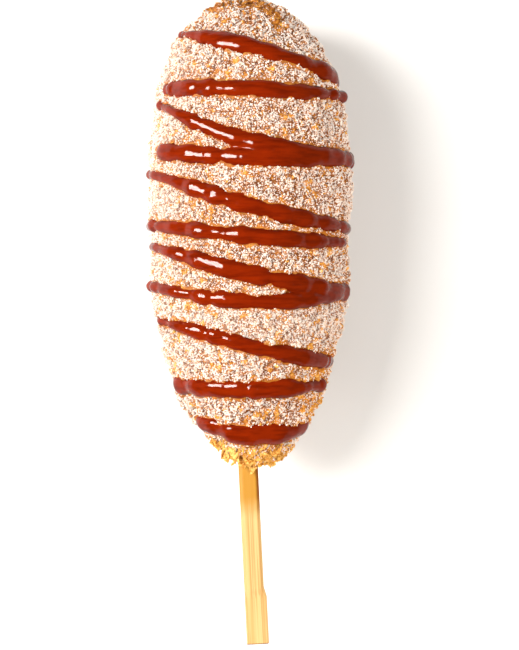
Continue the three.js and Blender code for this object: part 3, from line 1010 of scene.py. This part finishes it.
# Painted shade: the red grows browner towards +X.
thickness = sauce.between(sauce_across, KETCHUP_SHADE_FROM, KETCHUP_SHADE_TO) * KETCHUP_SHADE_SHARE
ketchup_colour = sauce.mix(thin_colour, KETCHUP_SHADED, thickness)
ripple = sauce.bump(sauce.noise(2.2 * MM, detail=2), 0.12 * MM, strength=0.4)
ketchup_finish = sauce.surface(Base_Color=ketchup_colour, Normal=ripple)
add_piece(ketchup_mesh, ketchup_finish, "ketchup", "coated_dog")

# %% [markdown]
# ## The stick
#
# A flat bamboo skewer: a shaft with softened corners that steps out to a square-cut paddle, on one side
# only. It is drawn as a few sections bridged together, and its finish runs fibres along its length. The
# wood by the coating has soaked up oil and is darker, and the right edge is painted darker as painted
# shade, most of all where the wood is oily.

# %% The stick's form
STICK_VISIBLE, STICK_BURIED = 48.8 * MM, 20 * MM
PADDLE_LENGTH, SHOULDER_LENGTH = 12.6 * MM, 2.8 * MM
SHAFT_WIDTH, SHAFT_THICKNESS = 5.4 * MM, 4.3 * MM
PADDLE_WIDTH, PADDLE_THICKNESS = 6.1 * MM, 4.7 * MM
SHAFT_CORNER, PADDLE_CORNER = 1.1 * MM, 0.35 * MM
CORNER_STEPS = 5


def stick_section(work, distance, width, thickness, corner, cap=False):
    """A rectangle with rounded corners across the stick, as a bevelled square."""
    section = bmesh.new()
    bmesh.ops.create_grid(section, x_segments=1, y_segments=1, size=0.5)
    bmesh.ops.scale(section, vec=(width, thickness, 1), verts=section.verts)
    bmesh.ops.bevel(
        section, geom=section.verts[:], offset=corner, affect="VERTICES",
        segments=CORNER_STEPS, profile=0.5, material=-1, clamp_overlap=False,
    )
    direction = Vector((math.sin(STICK_LEAN), -math.cos(STICK_LEAN), 0))
    across = Vector((math.cos(STICK_LEAN), math.sin(STICK_LEAN), 0))
    middle = STICK_START + direction * distance + across * (width - SHAFT_WIDTH) / 2
    turn = Matrix((across, Vector((0, 0, 1)), direction)).transposed().to_4x4()
    bmesh.ops.transform(section, matrix=Matrix.Translation(middle) @ turn, verts=section.verts)
    if not cap:
        bmesh.ops.delete(section, geom=section.faces[:], context="FACES_ONLY")
    loose = mesh_from(section, "section")
    before = set(work.edges)
    work.from_mesh(loose)
    bpy.data.meshes.remove(loose)
    return set(work.edges) - before


# %% Sections bridged into a stick
END_CHAMFER = 0.25 * MM

paddle_start = STICK_VISIBLE - PADDLE_LENGTH
shoulder_start = paddle_start - SHOULDER_LENGTH
# Distance from the coating, width, thickness and corner of each section.
sections = [
    (-STICK_BURIED, SHAFT_WIDTH, SHAFT_THICKNESS, SHAFT_CORNER),
    (shoulder_start, SHAFT_WIDTH, SHAFT_THICKNESS, SHAFT_CORNER),
    (paddle_start, PADDLE_WIDTH, PADDLE_THICKNESS, PADDLE_CORNER),
    (STICK_VISIBLE - END_CHAMFER, PADDLE_WIDTH, PADDLE_THICKNESS, PADDLE_CORNER),
    (STICK_VISIBLE, PADDLE_WIDTH - END_CHAMFER, PADDLE_THICKNESS - END_CHAMFER, PADDLE_CORNER),
]
stick_work = bmesh.new()
outlines = []
for number, section in enumerate(sections):
    outlines.append(stick_section(stick_work, *section, cap=number in (0, len(sections) - 1)))
for near, far in zip(outlines, outlines[1:]):
    bmesh.ops.bridge_loops(stick_work, edges=list(near | far))
bmesh.ops.recalc_face_normals(stick_work, faces=stick_work.faces[:])
stick_mesh = mesh_from(stick_work, "bamboo_stick")
print("faces of the stick:", len(stick_mesh.polygons))

# %% The stick's finish
BAMBOO_PALE = (0.68, 0.44, 0.18)
BAMBOO_GOLD = (0.53, 0.27, 0.068)
BAMBOO_FIBRE = (0.4, 0.18, 0.038)
BAMBOO_OILY = (0.45, 0.205, 0.014)
BAMBOO_SHADED_EDGE = (0.2, 0.06, 0.01)
BAMBOO_CUT = (0.14, 0.04, 0.012)
# Where the oil ends and is strong along the stick, and where the painted shade on the right edge starts
# and is full across it.
OIL_ENDS, OIL_STRONG = -13.5 * MM, -6 * MM
SHADED_EDGE_FROM, SHADED_EDGE_FULL = 1.9 * MM, 2.6 * MM

bamboo = Finish("bamboo_wood", Roughness=0.55, Specular_IOR_Level=DRY)


def along_stick(size):
    """Coordinates in the stick's own directions, counted in the given sizes across, along and up."""
    sockets = {"Vector": bamboo.coordinates(), "Scale": size}
    sockets |= {"Location": STICK_START, "Rotation": (0, 0, STICK_LEAN)}
    return bamboo.node("ShaderNodeMapping", {"vector_type": "TEXTURE"}, sockets)


fibre = bamboo.noise(1, detail=2, where=along_stick((0.4 * MM, 40 * MM, 0.4 * MM)))
streak = bamboo.noise(1, detail=1, where=along_stick((1.3 * MM, 60 * MM, 1.3 * MM)))
wood = bamboo.mix(BAMBOO_PALE, BAMBOO_GOLD, bamboo.between(streak, 0.38, 0.62) * 0.5)
grained = bamboo.mix(wood, BAMBOO_FIBRE, bamboo.between(fibre, 0.5, 0.62) * 0.5)
from_middle, from_coating = [bamboo.one_of(along_stick((1, 1, 1)), axis) for axis in "XY"]
soaked = bamboo.between(from_coating + bamboo.noise(5 * MM) * 3 * MM, OIL_ENDS, OIL_STRONG)
oily = bamboo.mix(grained, BAMBOO_OILY, soaked * 0.95)
# Painted shade along the right edge, strongest where the wood is oily.
skin = bamboo.between(from_middle + bamboo.noise(4 * MM) * 0.5 * MM, SHADED_EDGE_FROM, SHADED_EDGE_FULL)
edged = bamboo.mix(oily, BAMBOO_SHADED_EDGE, skin * (soaked * 0.85 + 0.1))
cut_end = bamboo.between(from_coating, 0.35 * MM - STICK_VISIBLE, 0.2 * MM - STICK_VISIBLE)
wood_colour = bamboo.mix(edged, BAMBOO_CUT, cut_end * 0.85)
stick_finish = bamboo.surface(Base_Color=wood_colour, Normal=bamboo.bump(fibre, 0.1 * MM))
add_piece(stick_mesh, stick_finish, "bamboo", "stick", smooth=False)

# %% [markdown]
# ## Floor, light and camera
#
# The dog lies on a plain pale floor. A soft key light high on the left makes the bright flank, with
# weaker ones low on the left, on the right and overhead, and a pale sky. A fifth light beside the key is
# the only one that is mirrored, and lights nothing, so the ketchup's gleams have a size and strength of
# their own. The camera looks straight down.

# %% Floor
FLOOR_REACH = 4
floor_work = bmesh.new()
bmesh.ops.create_grid(floor_work, x_segments=1, y_segments=1, size=FLOOR_REACH)
floor_mesh = mesh_from(floor_work, "floor")
floor = bpy.data.objects.new("floor", floor_mesh)
bpy.context.collection.objects.link(floor)
pale = Finish("pale_floor", Base_Color=(0.74, 0.74, 0.73, 1), Roughness=0.8)
floor_mesh.materials.append(pale.material)
floor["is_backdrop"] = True

# %% Lights
MIDDLE = Vector((0, 0, AXIS_HEIGHT))
# Name, place, size, power in watts and colour.
LIGHTS = [
    ("key", (-0.58, 0.12, 0.7), (0.3, 0.55), 10.8, (1, 0.98, 0.95)),
    ("left_fill", (-0.9, -0.15, 0.22), (0.3, 0.3), 5, (1, 0.97, 0.93)),
    ("right_fill", (0.7, -0.35, 0.7), (0.3, 0.3), 10.5, (1, 0.95, 0.9)),
    ("ceiling", (0, -0.1, 1.3), (1.2, 1.2), 3, (1, 1, 1)),
    ("gleam", (-0.66, 0.12, 0.64), (0.42, 0.6), 105, (1, 0.96, 0.92)),
]
for name, place, size, power, colour in LIGHTS:
    lamp = bpy.data.lights.new(name, "AREA")
    lamp.shape, lamp.energy, lamp.color = "RECTANGLE", power, colour
    lamp.size, lamp.size_y = size
    light = bpy.data.objects.new(name, lamp)
    light.location = place
    light.rotation_euler = (MIDDLE - Vector(place)).to_track_quat("-Z", "Y").to_euler()
    light.visible_glossy = name == "gleam"
    light.visible_diffuse = name != "gleam"
    bpy.context.collection.objects.link(light)
    print(f"{name}: {power} W")

# %% Sky
world = bpy.data.worlds.new("studio")
world.use_nodes = True
sky = world.node_tree.nodes["Background"].inputs
sky["Color"].default_value = (1, 0.97, 0.95, 1)
sky["Strength"].default_value = 0.12
bpy.context.scene.world = world
bpy.context.scene.view_settings.view_transform = "Standard"

# %% Camera
CAMERA_CENTRE = (2.63 * MM, -31.9 * MM)
CAMERA_DISTANCE = 480 * MM

lens = bpy.data.cameras.new("camera")
lens.lens, lens.sensor_width = 96, 36
lens.clip_start, lens.clip_end = 0.01, 10
camera = bpy.data.objects.new("camera", lens)
camera.location = (*CAMERA_CENTRE, AXIS_HEIGHT + CAMERA_DISTANCE)
bpy.context.collection.objects.link(camera)
bpy.context.scene.camera = camera
print("camera above the axis in mm:", round(CAMERA_DISTANCE / MM))

visual_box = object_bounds()
boxes = {"cad": [list(c) for c in cad_box], "visual": [list(c) for c in visual_box]}
for label, box in boxes.items():
    print(label, "box in mm:", [[round(c / MM, 1) for c in corner] for corner in box])
